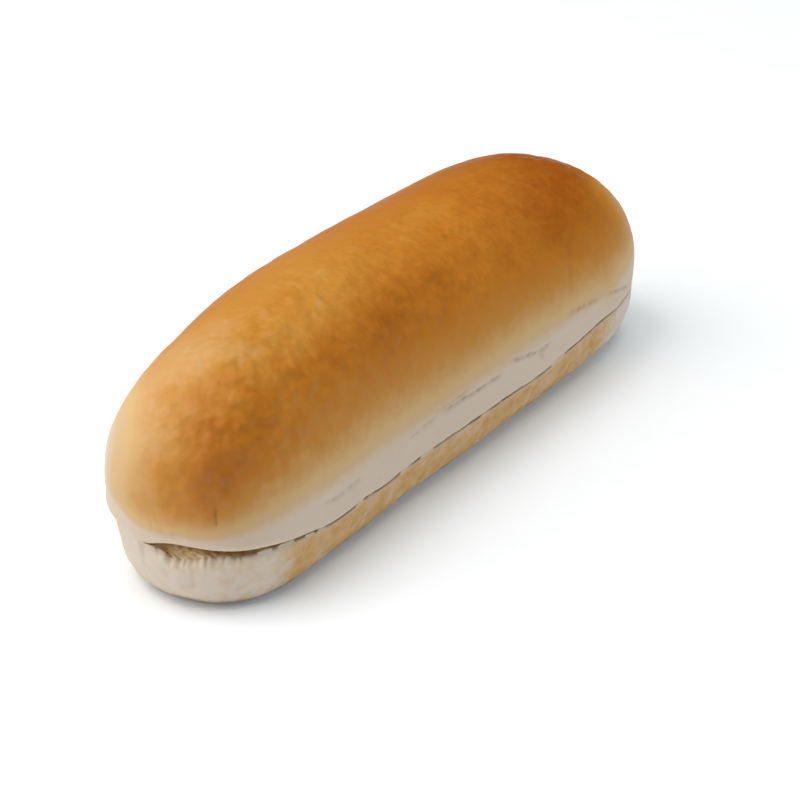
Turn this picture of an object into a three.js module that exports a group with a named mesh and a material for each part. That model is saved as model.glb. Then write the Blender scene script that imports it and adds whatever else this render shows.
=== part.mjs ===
// A hot dog bun: one soft loaf, domed above and flat below, sliced open from one long side.
// The slice runs in from the near end, along the whole front and out at the far end, and
// stops short of the back, where the uncut crumb is the hinge that keeps the bun in one piece.
//
// Millimetres, +Z up. +X runs along the bun to its far end, -Y is the cut side, +Y the hinge.
// The loaf stands on z = 0, with its box centred on the Z axis.

import * as THREE from 'three';
import { ParametricGeometry } from 'three/addons/geometries/ParametricGeometry.js';
import { mergeVertices } from 'three/addons/utils/BufferGeometryUtils.js';

const { lerp, smoothstep, clamp, degToRad, radToDeg } = THREE.MathUtils;

// --- Driving dimensions -------------------------------------------------------------------

const LENGTH = 160; // end to end
const NEAR_END = { halfWidth: 23.1, roundness: 1.09, height: 44.7 }; // roundness: cap length / half width
const FAR_END = { halfWidth: 29.4, roundness: 0.95, height: 40.7 };
const MIDDLE_HEIGHT = 44.1;
const BEND = 7.3; // how far the middle bows towards the back
const SHOULDER = 3; // how suddenly the straight sides turn into the round ends

const WIDEST_LEVEL = 15.8; // height of the widest line above the table
const BASE_SHARE = 0.7; // flat base, as a share of the full width
const DOME_ROUND = 2.09; // exponents of the dome's oval section: 2 is a true ellipse
const DOME_SHOULDER = 2.28;

// The dough did not rise evenly: small swells and dips along the top, the back and the front.
const SWELL_REACH = 17;
const SWELLS = [
  { x: -50, top: 0, back: 0, front: -1.2 },
  { x: -25, top: 0.6, back: 0.6, front: -0.6 },
  { x: 0, top: -0.5, back: 0.2, front: 0.6 },
  { x: 25, top: -0.9, back: -0.5, front: 0.6 },
  { x: 50, top: 0.1, back: 0.1, front: 0.4 },
];
const HEEL_SWELL = { angle: 302, reach: 13, out: 1.4, level: 8, levelReach: 6 }; // at the far front corner

// The slice. Its angles are counted round the bun from the far tip, by way of the back,
// so 180 degrees is the near tip and 270 degrees the middle of the front.
const SLICE = {
  start: 170, // where it opens at the near end
  end: 370, // where it closes at the far end
  frontLevel: 11.3, // height of the crown's lower lip at the front, near end
  frontFarLevel: 12.6, // and far end
  nearLevel: 15.3, // at the near tip
  farLevel: 17.6, // and the far tip
  innerLevel: 18.5, // height of the slice's inner end
  innerBulge: 3, // how far the inner end bows towards the back
  innerGap: 0.4, // height of the slice at its inner end
  sideGap: 0.55, // how far the lips stand apart along the front
  mouthGap: 1.8, // extra gap at the near tip, where the bun gapes
  mouthAngle: 190,
  mouthReach: 13,
  cornerGap: 0.55, // extra gap at the near corner
  cornerAngle: 213,
  cornerReach: 16,
  lipInset: 0.8, // the lips' edges are rounded back by this much
  lipHeight: 1.3, // over this height
  lipFade: 8, // degrees over which the rounding begins and ends
  startFade: 12, // degrees over which the mouth opens
  hingeFade: 30, // and over which the plain band round the hinge widens
  closedLip: 1.6, // height of the plain band that goes on round the hinge
};
// The lip wavers along the front, where the blade dragged through the soft crumb.
const LIP_WAVES = [
  { x: -66, rise: 0.7, reach: 8 },
  { x: -51, rise: -0.9, reach: 8 },
  { x: -34, rise: -0.6, reach: 5 },
  { x: -9, rise: 0.6, reach: 8 },
  { x: 20, rise: -0.9, reach: 9 },
  { x: 45, rise: 0.7, reach: 10 },
];
const INNER_FAN = 0.15; // how far the inner end's points fan out at the tips
const TIP_BLEND = 1.5; // how late the lip leaves its front height for that of the tips
const TEAR = { height: 0.45, angle: 205, reach: 28 }; // torn crumb along the heel's lip, near end
const PUCKER = { angle: 150, reach: 17, depth: 0.4 }; // the skin pulled in just before the slice
const CREASE = { rise: 5.8, from: 252, to: 306, fade: 8, depth: 0.5, halfHeight: 1 }; // fold above the slice

const COLUMNS = 104; // round the bun, an even number
const HEEL_ROWS = 6;
const CUT_ROWS = 3;
const CROWN_ROWS = 13;

// --- The loaf's outer form ----------------------------------------------------------------

const bump = (value, centre, reach) => Math.exp(-(((value - centre) / reach) ** 2));

// 1 between two values and 0 outside them, with soft ends.
function between(value, from, to, fade) {
  return smoothstep(value, from, from + fade) - smoothstep(value, to - fade, to);
}

// An angle in degrees that runs on past the far tip, from 90 at the back to 450.
const roundFromFarTip = (angle) => (radToDeg(angle) < 90 ? radToDeg(angle) + 360 : radToDeg(angle));

const nearSpineEnd = -LENGTH / 2 + NEAR_END.roundness * NEAR_END.halfWidth;
const farSpineEnd = LENGTH / 2 - FAR_END.roundness * FAR_END.halfWidth;
const SPINE_GATHER = 0.03; // draws the ends of the crest and of the base line to one point each
const shareOfSpine = (x) => (x - nearSpineEnd) / (farSpineEnd - nearSpineEnd);

// Place along the spine that a point at this angle grows out from. share is 0 on the spine
// and 1 at the widest line.
function spinePlace(angle, share) {
  const along = Math.tanh(SHOULDER * Math.cos(angle)) / Math.tanh(SHOULDER);
  const gathered = clamp(along * (1 + SPINE_GATHER * (1 - share)), -1, 1);
  return lerp(nearSpineEnd, farSpineEnd, (gathered + 1) / 2);
}

// Width, end roundness and height of the loaf at one place along the spine.
function girth(x, angle) {
  const t = shareOfSpine(x);
  const atBack = Math.max(Math.sin(angle), 0);
  const atFront = Math.max(-Math.sin(angle), 0);
  let halfWidth = lerp(NEAR_END.halfWidth, FAR_END.halfWidth, t);
  let height = NEAR_END.height * (1 - t) * (1 - 2 * t)
    + MIDDLE_HEIGHT * 4 * t * (1 - t)
    + FAR_END.height * t * (2 * t - 1);
  for (const swell of SWELLS) {
    const near = bump(x, swell.x, SWELL_REACH);
    halfWidth += near * (swell.back * atBack + swell.front * atFront);
    height += near * swell.top;
  }
  return { halfWidth, height, roundness: lerp(NEAR_END.roundness, FAR_END.roundness, t) };
}

// A point of the loaf: share is how far out it lies, from the spine to the widest line.
function placeAt(angle, share, level) {
  const x = spinePlace(angle, share);
  const { halfWidth, roundness } = girth(x, angle);
  return new THREE.Vector3(
    x + roundness * halfWidth * share * Math.cos(angle),
    halfWidth * share * Math.sin(angle) + BEND * (1 - (2 * x / LENGTH) ** 2),
    level,
  );
}

// How far out the skin lies at a given level: an oval undercut below the widest line, the dome above.
function skinShare(angle, level) {
  if (level <= WIDEST_LEVEL) {
    const drop = 1 - level / WIDEST_LEVEL;
    return BASE_SHARE + (1 - BASE_SHARE) * Math.sqrt(1 - drop ** 2);
  }
  const { height } = girth(spinePlace(angle, 1), angle);
  const climb = (level - WIDEST_LEVEL) / (height - WIDEST_LEVEL);
  return (1 - climb ** DOME_SHOULDER) ** (1 / DOME_ROUND);
}

// A point on the skin, or inset from it.
function onSkin(angle, level, inset = 0) {
  const { halfWidth } = girth(spinePlace(angle, 1), angle);
  const swell = HEEL_SWELL.out * bump(roundFromFarTip(angle), HEEL_SWELL.angle, HEEL_SWELL.reach)
    * bump(level, HEEL_SWELL.level, HEEL_SWELL.levelReach);
  return placeAt(angle, skinShare(angle, level) + (swell - inset) / halfWidth, level);
}

// --- The slice ----------------------------------------------------------------------------

const isSliced = (angle) => {
  const turn = roundFromFarTip(angle);
  return turn > SLICE.start && turn < SLICE.end;
};

// Height of the crown's lower lip.
function lipLevel(angle) {
  const t = shareOfSpine(spinePlace(angle, 1));
  const backLevel = lerp(SLICE.nearLevel, SLICE.farLevel, t);
  if (Math.sin(angle) >= 0) return backLevel;
  const frontLevel = lerp(SLICE.frontLevel, SLICE.frontFarLevel, t);
  const { x } = placeAt(angle, 1, 0);
  const waver = LIP_WAVES.reduce((sum, wave) => sum + wave.rise * bump(x, wave.x, wave.reach), 0);
  return lerp(frontLevel + waver, backLevel, Math.abs(Math.cos(angle)) ** TIP_BLEND);
}

// Distance between the two lips, which only differ in height.
function lipGap(angle) {
  const turn = roundFromFarTip(angle);
  const open = smoothstep(turn, SLICE.start, SLICE.start + SLICE.startFade);
  const mouth = SLICE.mouthGap * bump(turn, SLICE.mouthAngle, SLICE.mouthReach);
  const corner = SLICE.cornerGap * bump(turn, SLICE.cornerAngle, SLICE.cornerReach);
  const fade = SLICE.hingeFade;
  const hinged = 1 - between(turn, SLICE.start - fade, SLICE.end + fade, fade);
  return lerp(SLICE.sideGap + open * (mouth + corner), SLICE.closedLip, hinged);
}

// Torn crumb on the heel's lip at the near end, a few millimetres from crest to crest.
function tear(angle) {
  const turn = roundFromFarTip(angle);
  const ragged = Math.sin(turn * 0.9) * Math.sin(turn * 0.37 + 1) + 0.5 * Math.sin(turn * 1.7 + 2);
  return TEAR.height * ragged * bump(turn, TEAR.angle, TEAR.reach);
}

// How far the lips are rounded back from the skin.
function lipInset(angle) {
  const turn = roundFromFarTip(angle);
  const open = between(turn, SLICE.start, SLICE.end, SLICE.lipFade);
  return SLICE.lipInset * open + PUCKER.depth * bump(turn, PUCKER.angle, PUCKER.reach);
}

// The slice's inner end: a line that bows from the near opening to the far one.
const innerStart = onSkin(degToRad(SLICE.start), lipLevel(degToRad(SLICE.start)));
const innerEnd = onSkin(degToRad(SLICE.end - 360), lipLevel(degToRad(SLICE.end - 360)));

function innerPoint(angle) {
  const turned = (roundFromFarTip(angle) - SLICE.start) / (SLICE.end - SLICE.start);
  const s = lerp(shareOfSpine(spinePlace(angle, 1)), turned, INNER_FAN);
  const point = innerStart.clone().lerp(innerEnd, s);
  const middle = 4 * s * (1 - s);
  point.y += SLICE.innerBulge * middle;
  point.z = lerp(point.z, SLICE.innerLevel, middle);
  return point;
}

// --- One column of points, from the middle of the base up to the crest ---------------------

function column(angle) {
  const upper = lipLevel(angle);
  const lower = upper - lipGap(angle) + tear(angle);
  const inset = lipInset(angle);
  const points = [placeAt(angle, 0, 0)];

  const heelTop = lower - SLICE.lipHeight;
  const sweep = Math.acos(1 - heelTop / WIDEST_LEVEL);
  for (let i = 0; i < HEEL_ROWS; i++) {
    const drop = Math.cos(sweep * i / (HEEL_ROWS - 1));
    points.push(onSkin(angle, WIDEST_LEVEL * (1 - drop)));
  }

  const heelLip = onSkin(angle, lower, inset);
  const crownLip = onSkin(angle, upper, inset);
  const halfGap = new THREE.Vector3(0, 0, SLICE.innerGap / 2);
  const heelInner = isSliced(angle) ? innerPoint(angle).sub(halfGap) : heelLip;
  const crownInner = isSliced(angle) ? innerPoint(angle).add(halfGap) : crownLip;
  for (let i = 0; i <= CUT_ROWS; i++) points.push(heelLip.clone().lerp(heelInner, i / CUT_ROWS));
  for (let i = 0; i <= CUT_ROWS; i++) points.push(crownInner.clone().lerp(crownLip, i / CUT_ROWS));
  points.push(onSkin(angle, upper + SLICE.lipHeight));

  const folded = between(roundFromFarTip(angle), CREASE.from, CREASE.to, CREASE.fade);
  const fold = upper + CREASE.rise;
  points.push(onSkin(angle, fold - CREASE.halfHeight));
  points.push(onSkin(angle, fold, CREASE.depth * folded));
  points.push(onSkin(angle, fold + CREASE.halfHeight));

  const rim = girth(spinePlace(angle, 1), angle).height - WIDEST_LEVEL;
  const start = Math.asin((fold + CREASE.halfHeight - WIDEST_LEVEL) / rim);
  for (let i = 1; i <= CROWN_ROWS; i++) {
    const climb = Math.sin(lerp(start, Math.PI / 2, i / CROWN_ROWS));
    const share = Math.max(0, 1 - climb ** DOME_SHOULDER) ** (1 / DOME_ROUND);
    const { height } = girth(spinePlace(angle, share), angle);
    points.push(placeAt(angle, share, lerp(WIDEST_LEVEL, height, climb)));
  }
  return points;
}

// Angles of the columns, evenly spaced along the rim and the same on both sides of the spine,
// so that the two sides meet point to point along the crest and along the middle of the base.
function columnAngles() {
  const fineSteps = 1440;
  const travelled = [0];
  let last = placeAt(0, 1, 0);
  for (let i = 1; i <= fineSteps; i++) {
    const next = placeAt(Math.PI * i / fineSteps, 1, 0);
    travelled.push(travelled[i - 1] + next.distanceTo(last));
    last = next;
  }
  const half = [];
  for (let i = 0; i <= COLUMNS / 2; i++) {
    const goal = travelled[fineSteps] * i / (COLUMNS / 2);
    half.push(Math.PI * travelled.findIndex((way) => way >= goal) / fineSteps);
  }
  const otherHalf = half.slice(1, -1).reverse().map((angle) => 2 * Math.PI - angle);
  return [...half, ...otherHalf, 2 * Math.PI];
}

// --- The solid ----------------------------------------------------------------------------

// Shares the points that lie on each other and drops the triangles that have no area.
function closeUp(geometry) {
  geometry.deleteAttribute('normal');
  geometry.deleteAttribute('uv');
  const merged = mergeVertices(geometry, 1e-3);
  const corners = merged.index.array;
  const kept = [];
  for (let i = 0; i < corners.length; i += 3) {
    const [a, b, c] = corners.slice(i, i + 3);
    if (a !== b && b !== c && c !== a) kept.push(a, b, c);
  }
  merged.setIndex(kept);
  return merged;
}

function bunGeometry() {
  const columns = columnAngles().map((angle) => column(angle === 2 * Math.PI ? 0 : angle));
  const rows = columns[0].length - 1;
  const pick = (u, v, target) => {
    const i = clamp(Math.round(u * COLUMNS), 0, COLUMNS);
    const j = clamp(Math.round(v * rows), 0, rows);
    target.copy(columns[i][j]);
  };
  const loaf = closeUp(new ParametricGeometry(pick, COLUMNS, rows));
  loaf.computeBoundingBox();
  const middle = loaf.boundingBox.getCenter(new THREE.Vector3());
  loaf.translate(-middle.x, -middle.y, 0);
  return loaf;
}

const bun = new THREE.Mesh(
  bunGeometry(),
  new THREE.MeshStandardMaterial({ color: 0xb97a3a, roughness: 0.6, metalness: 0 }),
);
bun.name = 'bun';

const model = new THREE.Group();
model.add(bun);

export default model;
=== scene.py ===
"""A soft hot dog bun: one loaf, domed and browned above, pale along its sides, flat below.

A slice enters at the near end, runs along the front and leaves at the far end. It stops short
of the back, so the heel and the crown stay joined there. The loaf is worked out in millimetres
in the part's own frame: +X runs along the bun to its wider end, -Y is the sliced front, +Y the
back and +Z up. A place round the bun is its "turn", in degrees from the far tip by way of the
back: 90 is the back, 180 the near tip, 270 the front and 360 the far tip again.
"""

import logging
import math
from dataclasses import dataclass
from enum import Enum

import bpy
import numpy as np
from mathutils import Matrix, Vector

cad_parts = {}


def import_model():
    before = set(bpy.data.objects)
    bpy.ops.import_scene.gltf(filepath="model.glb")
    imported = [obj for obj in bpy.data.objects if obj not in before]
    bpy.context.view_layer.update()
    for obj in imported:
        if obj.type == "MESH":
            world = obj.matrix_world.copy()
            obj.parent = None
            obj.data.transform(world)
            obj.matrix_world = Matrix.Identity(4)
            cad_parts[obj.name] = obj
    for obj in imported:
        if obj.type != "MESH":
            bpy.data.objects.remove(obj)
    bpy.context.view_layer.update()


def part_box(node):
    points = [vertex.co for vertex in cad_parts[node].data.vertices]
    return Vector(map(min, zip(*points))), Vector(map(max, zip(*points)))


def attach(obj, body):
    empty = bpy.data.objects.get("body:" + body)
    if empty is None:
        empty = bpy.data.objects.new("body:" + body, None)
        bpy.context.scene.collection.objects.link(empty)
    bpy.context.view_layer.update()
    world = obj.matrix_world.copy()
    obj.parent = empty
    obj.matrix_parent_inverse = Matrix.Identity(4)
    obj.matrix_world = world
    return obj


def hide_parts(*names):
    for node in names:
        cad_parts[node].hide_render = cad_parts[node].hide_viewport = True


LOG = logging.getLogger("hot_dog_bun")
MM = 0.001
BODY = "root"
NODE = "bun"
# Points that agree to this many decimals of a millimetre are one point.
WELD_DIGITS = 5


# --- Small helpers ------------------------------------------------------------------------


def bump(value: np.ndarray, centre: float, reach: float) -> np.ndarray:
    """A smooth bump that is 1 at its centre and fades over its reach."""
    return np.exp(-(((value - centre) / reach) ** 2))


def ease(value: np.ndarray, start: float, end: float) -> np.ndarray:
    """A smooth step from 0 at start to 1 at end."""
    t = np.clip((value - start) / (end - start), 0.0, 1.0)
    return t * t * (3.0 - 2.0 * t)


def between(value: np.ndarray, start: float, end: float, fade: float) -> np.ndarray:
    """1 between start and end and 0 outside them, with soft ends."""
    return ease(value, start, start + fade) - ease(value, end - fade, end)


def lerp(a: np.ndarray, b: np.ndarray, t: np.ndarray) -> np.ndarray:
    """The value a share t of the way from a to b."""
    return a + (b - a) * t


def linear(code: str) -> tuple[float, float, float, float]:
    """Turns an sRGB hex colour into the linear colour that shaders take.

    Args:
        code: The colour, such as "#c08040".

    Returns:
        Red, green and blue in linear light, and an alpha of 1.
    """
    shares = [int(code[i : i + 2], 16) / 255 for i in (1, 3, 5)]
    made = [c / 12.92 if c <= 0.04045 else ((c + 0.055) / 1.055) ** 2.4 for c in shares]
    return (*made, 1.0)


def add(
    tree: bpy.types.NodeTree,
    kind: str,
    inputs: dict | None = None,
    stops: dict[float, str] | None = None,
    **settings: str,
) -> bpy.types.Node:
    """Adds a node to a tree.

    Args:
        tree: The shader or geometry tree.
        kind: The node's type name.
        inputs: For each input, by name or number, the value it holds or the socket it is fed by.
        stops: On a colour ramp, each colour as sRGB hex by its place from 0 to 1.
        **settings: The node's own settings.

    Returns:
        The new node.
    """
    node = tree.nodes.new(kind)
    for name, value in settings.items():
        setattr(node, name, value)
    for key, value in (inputs or {}).items():
        if isinstance(value, bpy.types.NodeSocket):
            tree.links.new(value, node.inputs[key])
        else:
            node.inputs[key].default_value = value
    for i, (place, code) in enumerate(sorted((stops or {}).items())):
        elements = node.color_ramp.elements
        element = elements[i] if i < len(elements) else elements.new(place)
        element.position = place
        element.color = linear(code)
    return node


# --- The loaf -----------------------------------------------------------------------------


@dataclass(frozen=True)
class LoafEnd:
    """One end of the loaf. roundness is the cap's length as a share of the half width."""

    half_width: float
    roundness: float
    height: float


@dataclass(frozen=True)
class Swell:
    """How far the dough stands out or in round one place along the loaf."""

    x: float
    top: float
    back: float
    front: float


@dataclass(frozen=True)
class Bulge:
    """How far the skin stands out, or in where out is negative, round one turn and level."""

    turn: float
    reach: float
    level: float
    rise: float
    out: float


@dataclass(frozen=True)
class Loaf:
    """The outer form that the dough baked into."""

    length: float = 160.0
    near: LoafEnd = LoafEnd(23.1, 1.09, 44.7)
    far: LoafEnd = LoafEnd(29.4, 0.95, 40.7)
    middle_height: float = 44.1
    bend: float = 7.3
    shoulder: float = 3.0
    widest_level: float = 15.8
    base_share: float = 0.7
    dome_round: float = 2.09
    dome_shoulder: float = 2.28
    spine_gather: float = 0.03
    swell_reach: float = 17.0
    swells: tuple[Swell, ...] = (
        Swell(-50, 0.0, 0.0, -1.2),
        Swell(-25, 0.6, 0.6, -0.6),
        Swell(0, -0.5, 0.2, 0.6),
        Swell(25, -0.9, -0.5, 0.6),
        Swell(50, 0.1, 0.1, 0.4),
    )
    bulges: tuple[Bulge, ...] = (
        # The near end: the crown's cheek and its lip overhang the heel.
        Bulge(145, 25, 27, 8, 1.4),
        Bulge(147, 22, 20.5, 2.8, 0.4),
        Bulge(142, 26, 16, 2.4, 0.85),
        Bulge(158, 34, 10.5, 7, -0.85),
        # The far end: the heel's rounded corner, with a narrower tip.
        Bulge(302, 13, 8, 6, 0.65),
        Bulge(306, 18, 12, 5, -0.6),
        Bulge(336, 30, 14, 8, -0.9),
    )

    def spine_ends(self) -> tuple[float, float]:
        """Finds where the spine begins and ends.

        Returns:
            The x of its near end and of its far end.
        """
        near = -self.length / 2 + self.near.roundness * self.near.half_width
        far = self.length / 2 - self.far.roundness * self.far.half_width
        return near, far

    def along_spine(self, x: np.ndarray) -> np.ndarray:
        """The share of the spine passed at x."""
        near, far = self.spine_ends()
        return (x - near) / (far - near)

    def spine_x(self, turn: np.ndarray, share: np.ndarray) -> np.ndarray:
        """Finds the place on the spine that a point of the loaf grows out from.

        Args:
            turn: Degrees round the bun.
            share: How far out the point lies, from 0 on the spine to 1 at the widest line.

        Returns:
            That place's x, in millimetres.
        """
        along = np.tanh(self.shoulder * np.cos(np.radians(turn))) / math.tanh(self.shoulder)
        gathered = np.clip(along * (1 + self.spine_gather * (1 - share)), -1, 1)
        near, far = self.spine_ends()
        return lerp(near, far, (gathered + 1) / 2)

    def rim_x(self, turn: np.ndarray) -> np.ndarray:
        """The place on the spine that the widest line grows out from."""
        return self.spine_x(turn, np.ones_like(turn))

    def girth(self, x: np.ndarray, turn: np.ndarray) -> tuple[np.ndarray, np.ndarray, np.ndarray]:
        """Measures the loaf at one place along the spine.

        Args:
            x: The place, in millimetres.
            turn: Degrees round the bun, because the swells differ from back to front.

        Returns:
            Half width, height and end roundness.
        """
        t = self.along_spine(x)
        side = np.sin(np.radians(turn))
        half_width = lerp(self.near.half_width, self.far.half_width, t)
        # The heights follow the curve through the near, the middle and the far one.
        height = (
            self.near.height * (1 - t) * (1 - 2 * t)
            + self.middle_height * 4 * t * (1 - t)
            + self.far.height * t * (2 * t - 1)
        )
        for swell in self.swells:
            here = bump(x, swell.x, self.swell_reach)
            outward = swell.back * np.maximum(side, 0) + swell.front * np.maximum(-side, 0)
            half_width = half_width + here * outward
            height = height + here * swell.top
        return half_width, height, lerp(self.near.roundness, self.far.roundness, t)

    def place(self, turn: np.ndarray, share: np.ndarray, level: np.ndarray) -> np.ndarray:
        """Finds points of the loaf.

        Args:
            turn: Degrees round the bun.
            share: How far out, from the spine to the widest line.
            level: Height above the table.

        Returns:
            The points, with x, y and z in the last axis.
        """
        turn, share, level = np.broadcast_arrays(turn, share, level)
        angle = np.radians(turn)
        x = self.spine_x(turn, share)
        half_width, _, roundness = self.girth(x, turn)
        bow = self.bend * (1 - (2 * x / self.length) ** 2)
        return np.stack(
            [
                x + roundness * half_width * share * np.cos(angle),
                half_width * share * np.sin(angle) + bow,
                level,
            ],
            axis=-1,
        )

    def rim_height(self, turn: np.ndarray) -> np.ndarray:
        """The loaf's height above the widest line, measured from the rim's place on the spine."""
        _, height, _ = self.girth(self.rim_x(turn), turn)
        return height - self.widest_level

    def skin_share(self, turn: np.ndarray, level: np.ndarray) -> np.ndarray:
        """Finds how far out the skin lies: an oval undercut below the widest line, the dome above.

        Args:
            turn: Degrees round the bun.
            level: Height above the table.

        Returns:
            The share of the way from the spine to the widest line.
        """
        drop = np.clip(1 - level / self.widest_level, 0, 1)
        heel = self.base_share + (1 - self.base_share) * np.sqrt(1 - drop**2)
        climb = np.clip((level - self.widest_level) / self.rim_height(turn), 0, 1)
        crown = (1 - climb**self.dome_shoulder) ** (1 / self.dome_round)
        return np.where(level <= self.widest_level, heel, crown)

    def bulge_share(self, turn: np.ndarray, level: np.ndarray, inset: np.ndarray) -> np.ndarray:
        """Finds how far the bulges, less an inset, move the skin.

        Args:
            turn: Degrees round the bun.
            level: Height above the table.
            inset: How far inside the skin, in millimetres.

        Returns:
            The move, as a share of the half width.
        """
        half_width, _, _ = self.girth(self.rim_x(turn), turn)
        out = -inset
        for bulge in self.bulges:
            here = bump(turn_from(turn, bulge.turn), 0, bulge.reach)
            out = out + bulge.out * here * bump(level, bulge.level, bulge.rise)
        return out / half_width

    def on_skin(self, turn: np.ndarray, level: np.ndarray, inset: np.ndarray | float = 0.0) -> np.ndarray:
        """Finds points on the skin.

        Args:
            turn: Degrees round the bun.
            level: Height above the table.
            inset: How far inside the skin, in millimetres.

        Returns:
            The points, with x, y and z in the last axis.
        """
        turn, level, inset = np.broadcast_arrays(turn, level, np.asarray(inset, float))
        share = self.skin_share(turn, level) + self.bulge_share(turn, level, inset)
        return self.place(turn, share, level)


def turn_round(turn: np.ndarray) -> np.ndarray:
    """The same turn, counted on past the far tip, from 90 at the back to 450."""
    return np.where(turn < 90, turn + 360, turn)


def turn_from(turn: np.ndarray, centre: float) -> np.ndarray:
    """Degrees from a centre to a turn, the shorter way round."""
    return (turn - centre + 180) % 360 - 180


# --- The slice ----------------------------------------------------------------------------


@dataclass(frozen=True)
class LipWave:
    """A rise or a dip of the slice's line round one turn."""

    turn: float
    rise: float
    reach: float


@dataclass(frozen=True)
class TornEdge:
    """The soft tufts that the pulled crumb left along the heel's lip, in degrees and millimetres."""

    first: float = 175.0
    last: float = 229.0
    spacing: float = 3.9
    reach: float = 1.2
    out: float = 0.55
    rise: float = 0.6
    hang: float = 1.6
    unevenness: float = 0.9
    reach_shift: tuple[float, float] = (-0.5, 0.8)
    seed: int = 8

    def tufts(self, turn: np.ndarray) -> np.ndarray:
        """Scatters the tufts along the lip.

        Args:
            turn: Degrees round the bun.

        Returns:
            How far each place stands out as a tuft, from 0 to 1.
        """
        chance = np.random.default_rng(self.seed)
        places = np.arange(self.first, self.last, self.spacing)
        places = places + self.spacing * self.unevenness * chance.uniform(-0.5, 0.5, len(places))
        sizes = 1 - self.unevenness * chance.random(len(places))
        reaches = self.reach * (1 + self.unevenness * chance.uniform(*self.reach_shift, len(places)))
        return np.max([s * bump(turn, p, r) for s, p, r in zip(sizes, places, reaches)], axis=0)


@dataclass(frozen=True)
class Slice:
    """The cut that opens the loaf, and the torn crumb along it, in degrees and millimetres."""

    start: float = 171.0
    end: float = 370.0
    front_level: float = 10.5
    front_far_level: float = 11.9
    near_level: float = 14.9
    far_level: float = 17.4
    inner_level: float = 18.5
    inner_bulge: float = 3.0
    inner_gap: float = 0.14
    inner_fan: float = 0.15
    side_gap: float = 0.06
    side_waver: float = 0.5
    waver_lengths: tuple[float, float] = (1.7, 4.3)
    mouth_gap: float = 3.1
    mouth_turn: float = 190.0
    mouth_reach: float = 13.0
    corner_gap: float = 1.3
    corner_turn: float = 215.0
    corner_reach: float = 14.0
    lip_inset: float = 0.28
    torn_inset: float = 1.1
    lip_height: float = 0.6
    torn_height: float = 1.8
    lip_fade: float = 8.0
    start_fade: float = 9.0
    hinge_fade: float = 30.0
    closed_lip: float = 1.6
    tip_blend: float = 1.5
    edge: TornEdge = TornEdge()
    torn_turn: float = 197.0
    torn_reach: float = 30.0
    waves: tuple[LipWave, ...] = (
        LipWave(172, -1.2, 10),
        LipWave(230, 0.4, 12),
        LipWave(250, -0.7, 4.5),
        LipWave(258.5, -0.5, 2),
        LipWave(267, 0.3, 2.6),
        LipWave(277, -0.9, 3),
        LipWave(287, 0.5, 4),
        LipWave(302, -0.6, 9),
    )

    def is_open(self, turn: np.ndarray) -> np.ndarray:
        """Where the slice runs."""
        onward = turn_round(turn)
        return (onward > self.start) & (onward < self.end)

    def level(self, loaf: Loaf, turn: np.ndarray) -> np.ndarray:
        """Finds the height of the crown's lower lip.

        Args:
            loaf: The loaf that is cut.
            turn: Degrees round the bun.

        Returns:
            The height above the table.
        """
        t = loaf.along_spine(loaf.rim_x(turn))
        back = lerp(self.near_level, self.far_level, t)
        front = lerp(self.front_level, self.front_far_level, t)
        to_tip = np.abs(np.cos(np.radians(turn))) ** self.tip_blend
        even = np.where(np.sin(np.radians(turn)) >= 0, back, lerp(front, back, to_tip))
        return even + sum(wave.rise * bump(turn, wave.turn, wave.reach) for wave in self.waves)

    def waver(self, loaf: Loaf, turn: np.ndarray) -> np.ndarray:
        """Works out how unevenly the lips part, because the crumb sprang back unevenly.

        Args:
            loaf: The loaf that is cut.
            turn: Degrees round the bun.

        Returns:
            How wide they stand, where 1 is as usual.
        """
        x = loaf.rim_x(turn)
        short, long = self.waver_lengths
        return 1 + self.side_waver * np.sin(x / short) * np.sin(x / long + 1)

    def gap(self, loaf: Loaf, turn: np.ndarray) -> np.ndarray:
        """Works out how far apart the two lips stand.

        Args:
            loaf: The loaf that is cut.
            turn: Degrees round the bun.

        Returns:
            The distance, and between the slice's two ends, where it is shut, the width of a plain strip.
        """
        onward = turn_round(turn)
        side = self.side_gap * self.waver(loaf, turn)
        opened = ease(onward, self.start, self.start + self.start_fade)
        mouth = self.mouth_gap * bump(onward, self.mouth_turn, self.mouth_reach)
        corner = self.corner_gap * bump(onward, self.corner_turn, self.corner_reach)
        fade = self.hinge_fade
        hinged = 1 - between(onward, self.start - fade, self.end + fade, fade)
        return lerp(side + opened * (mouth + corner), self.closed_lip, hinged)

    def torn(self, turn: np.ndarray) -> np.ndarray:
        """How torn the lips are, from 0 for a clean cut to 1."""
        return bump(turn_round(turn), self.torn_turn, self.torn_reach) * self.is_open(turn)

    def inset(self, loaf: Loaf, turn: np.ndarray) -> np.ndarray:
        """How far the lips' edges are rounded back from the skin."""
        opened = between(turn_round(turn), self.start, self.end, self.lip_fade)
        return (self.lip_inset * self.waver(loaf, turn) + self.torn_inset * self.torn(turn)) * opened

    def inner_line(self, loaf: Loaf, turn: np.ndarray) -> np.ndarray:
        """Finds the slice's inner end, a line that bows from its near opening to its far one.

        Args:
            loaf: The loaf that is cut.
            turn: Degrees round the bun.

        Returns:
            The points where the cuts from these places on the lip end.
        """
        ends = np.array([self.start, self.end - 360])
        first, last = loaf.on_skin(ends, self.level(loaf, ends))
        turned = (turn_round(turn) - self.start) / (self.end - self.start)
        passed = loaf.along_spine(loaf.rim_x(turn))
        s = lerp(passed, turned, self.inner_fan)[..., None]
        points = first + (last - first) * s
        middle = 4 * s[..., 0] * (1 - s[..., 0])
        points[..., 1] += self.inner_bulge * middle
        points[..., 2] = lerp(points[..., 2], self.inner_level, middle)
        return points


# --- Marks and browning ---------------------------------------------------------------------


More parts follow.
